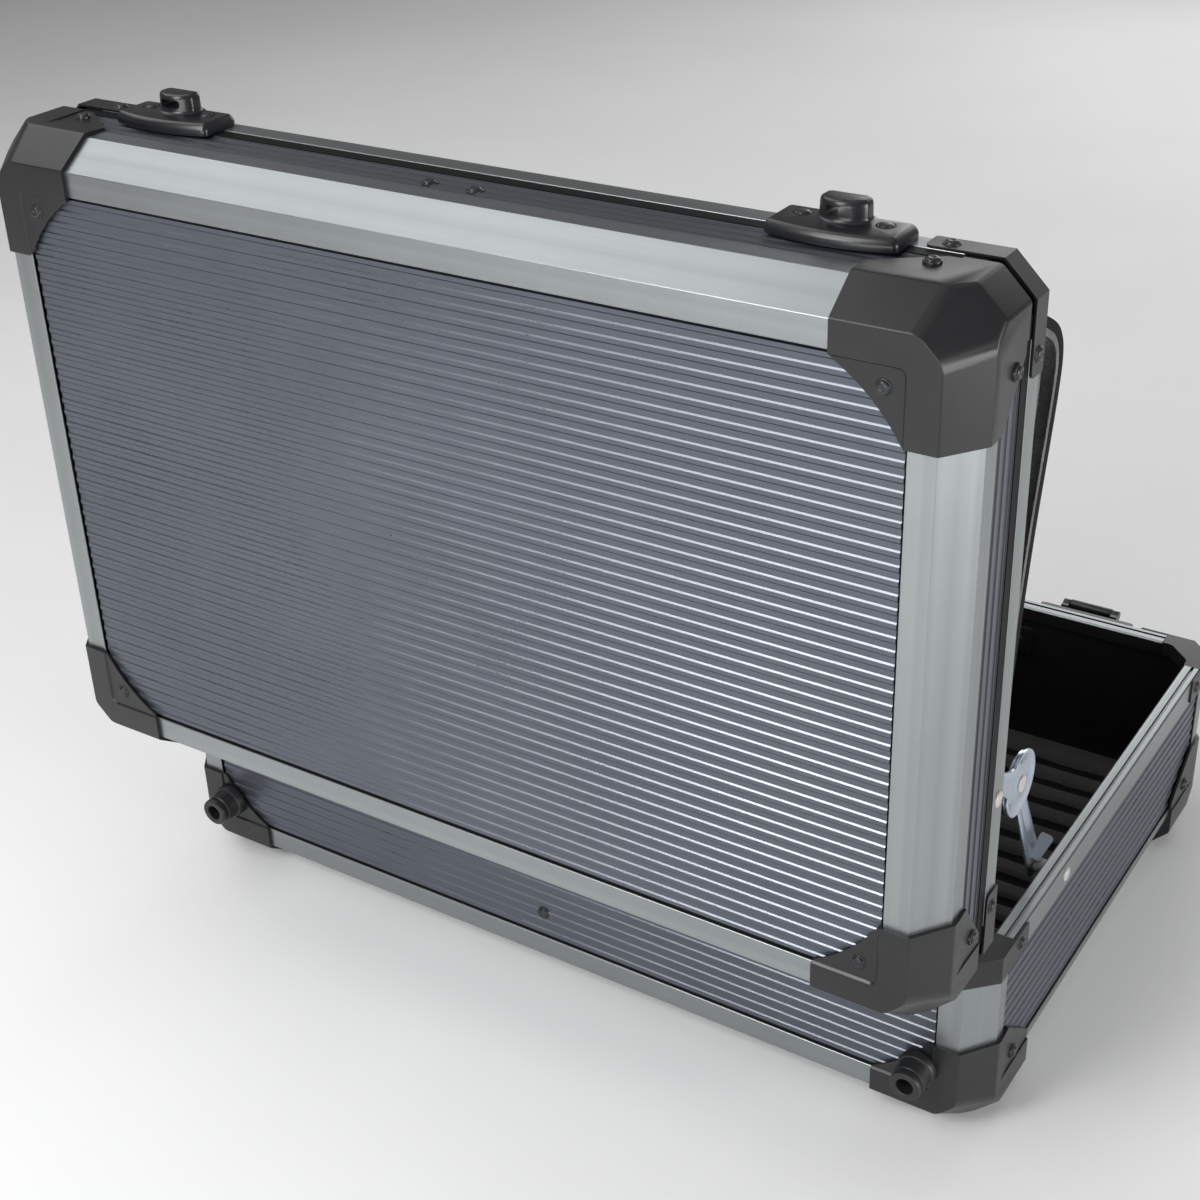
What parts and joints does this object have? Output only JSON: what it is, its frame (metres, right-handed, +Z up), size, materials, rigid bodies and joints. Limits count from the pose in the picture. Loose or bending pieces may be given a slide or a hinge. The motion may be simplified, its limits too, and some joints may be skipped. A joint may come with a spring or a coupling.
{
  "type": "aluminium tool case",
  "caption": "Aluminium-framed tool case with ribbed panels, hinged lid held open by folding stays, hasp latches, carrying handle and a lid organiser.",
  "frame": {"origin": "middle of the floor panel's underside; the four corner protectors reach 1.8 mm lower", "axes": "+X to the right for someone who faces the latches, -Y to the front with latches and handle, +Z up"},
  "size_m": [0.4662, 0.3911, 0.4268],
  "materials": {
    "aluminium_frame": "satin anodised extrusion",
    "ribbed_board": "blue-grey ribbed laminate",
    "charcoal_guard": "satin charcoal",
    "black_lining": "thin black lining",
    "foam_pad": "ridged black foam",
    "organiser_board": "padded black board",
    "black_rubber": "matt",
    "black_seal": "satin",
    "dark_rivet": "semi-gloss dark paint",
    "hinge_metal": "plated",
    "zinc_steel": "bright zinc plating",
    "black_latch": "gloss black",
    "handle_plastic": "satin black"
  },
  "bodies": {
    "base": {"base_floor_panel": "ribbed_board", "base_front_panel": "ribbed_board", "base_back_panel": "ribbed_board", "base_left_panel": "ribbed_board", "base_right_panel": "ribbed_board", "base_edge_front": "aluminium_frame", "base_edge_back": "aluminium_frame", "base_edge_left": "aluminium_frame", "base_edge_right": "aluminium_frame", "base_corner_posts": "aluminium_frame", "base_rim_front": "aluminium_frame", "base_rim_back": "aluminium_frame", "base_rim_left": "aluminium_frame", "base_rim_right": "aluminium_frame", "base_guard_front_left": "charcoal_guard", "base_guard_front_right": "charcoal_guard", "base_guard_back_left": "charcoal_guard", "base_guard_back_right": "charcoal_guard", "base_rim_braces": "charcoal_guard", "base_lining": "black_lining", "base_rivets": "dark_rivet", "floor_pad": "foam_pad", "rear_feet": "black_rubber", "hinge_base_leaf": "hinge_metal", "hinge_pin": "zinc_steel", "latch_mounts": "black_latch", "handle_mounts": "black_latch", "backing_plates": "black_latch"},
    "lid": {"lid_top_panel": "ribbed_board", "lid_wall_panels": "ribbed_board", "lid_edge_front": "aluminium_frame", "lid_edge_back": "aluminium_frame", "lid_edge_left": "aluminium_frame", "lid_edge_right": "aluminium_frame", "lid_rim_front": "aluminium_frame", "lid_rim_back": "aluminium_frame", "lid_rim_left": "aluminium_frame", "lid_rim_right": "aluminium_frame", "lid_guard_front_left": "charcoal_guard", "lid_guard_front_right": "charcoal_guard", "lid_guard_back_left": "charcoal_guard", "lid_guard_back_right": "charcoal_guard", "lid_rim_braces": "charcoal_guard", "lid_seal": "black_seal", "lid_lining": "black_lining", "lid_rivets": "dark_rivet", "organiser_sheet": "organiser_board", "organiser_pocket": "black_lining", "strike_plates": "black_latch", "hinge_lid_leaf": "hinge_metal"},
    "handle": {"handle_grip": "handle_plastic"},
    "hasp_left": {"latch_hasp_left": "black_latch"},
    "hasp_right": {"latch_hasp_right": "black_latch"},
    "slide_left": {"latch_slide_left": "black_latch"},
    "slide_right": {"latch_slide_right": "black_latch"},
    "stay_upper_left": {"stay_upper_left": "zinc_steel"},
    "stay_upper_right": {"stay_upper_right": "zinc_steel"},
    "stay_lower_left": {"stay_lower_left": "zinc_steel"},
    "stay_lower_right": {"stay_lower_right": "zinc_steel"}
  },
  "joints": [
    {"name": "lid_hinge", "type": "hinge", "parent": "base", "child": "lid", "pos_m": [0, 0.1585, 0.101], "axis": [1, 0, 0], "range_deg": [0, 90]},
    {"name": "handle_swing", "type": "hinge", "parent": "base", "child": "handle", "pos_m": [0, -0.161, 0.076], "axis": [-1, 0, 0], "range_deg": [0, 165]},
    {"name": "hasp_left_swing", "type": "hinge", "parent": "base", "child": "hasp_left", "pos_m": [-0.158, -0.162, 0.096], "axis": [-1, 0, 0], "range_deg": [0, 180]},
    {"name": "hasp_left_slide", "type": "slide", "parent": "hasp_left", "child": "slide_left", "axis": [0, 0, -1], "range_m": [0, 0.0075], "stiffness_N_per_m": 400, "springref_m": -0.002},
    {"name": "stay_upper_left_swing", "type": "hinge", "parent": "lid", "child": "stay_upper_left", "pos_m": [-0.2162, 0.1618, 0.193], "axis": [1, 0, 0], "range_deg": [-117, 0]},
    {"name": "stay_lower_left_swing", "type": "hinge", "parent": "base", "child": "stay_lower_left", "pos_m": [-0.2144, 0.065, 0.092], "axis": [1, 0, 0], "range_deg": [0, 109.65]},
    {"name": "hasp_right_swing", "type": "hinge", "parent": "base", "child": "hasp_right", "pos_m": [0.158, -0.162, 0.096], "axis": [-1, 0, 0], "range_deg": [0, 180]},
    {"name": "hasp_right_slide", "type": "slide", "parent": "hasp_right", "child": "slide_right", "axis": [0, 0, -1], "range_m": [0, 0.0075], "stiffness_N_per_m": 400, "springref_m": -0.002},
    {"name": "stay_upper_right_swing", "type": "hinge", "parent": "lid", "child": "stay_upper_right", "pos_m": [0.2162, 0.1618, 0.193], "axis": [1, 0, 0], "range_deg": [-117, 0]},
    {"name": "stay_lower_right_swing", "type": "hinge", "parent": "base", "child": "stay_lower_right", "pos_m": [0.2144, 0.065, 0.092], "axis": [1, 0, 0], "range_deg": [0, 109.65]}
  ],
  "couplings": [
    {"joint": "stay_upper_left_swing", "follows": "lid_hinge", "ratio": -1.2994},
    {"joint": "stay_lower_left_swing", "follows": "lid_hinge", "ratio": 1.2177},
    {"joint": "stay_upper_right_swing", "follows": "lid_hinge", "ratio": -1.2994},
    {"joint": "stay_lower_right_swing", "follows": "lid_hinge", "ratio": 1.2177}
  ]
}
